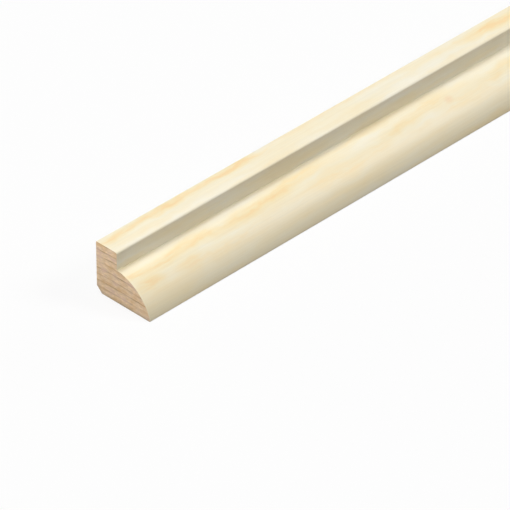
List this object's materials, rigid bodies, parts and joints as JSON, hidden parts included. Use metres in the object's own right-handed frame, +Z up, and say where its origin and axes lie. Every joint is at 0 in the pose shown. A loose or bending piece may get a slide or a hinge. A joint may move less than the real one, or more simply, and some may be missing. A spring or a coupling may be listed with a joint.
{
  "type": "glazing bead",
  "caption": "Planed pine glazing bead: a flat glass face and seat, a chamfered heel, a flat crown with a square step, and a convex ovolo falling to a thin foot.",
  "frame": {"origin": "middle of the bottom of the bead's bounding box: half way along the length, on the seat, half way between the glass face and the foot", "axes": "+X from the glass face towards the moulded side, +Y along the length, +Z up from the seat to the crown"},
  "size_m": [0.02, 2.4, 0.016],
  "materials": {
    "planed_pine": "planed bare softwood, flat sawn, with square saw-cut ends"
  },
  "bodies": {
    "root": {"glazing_bead": "planed_pine"}
  },
  "joints": []
}
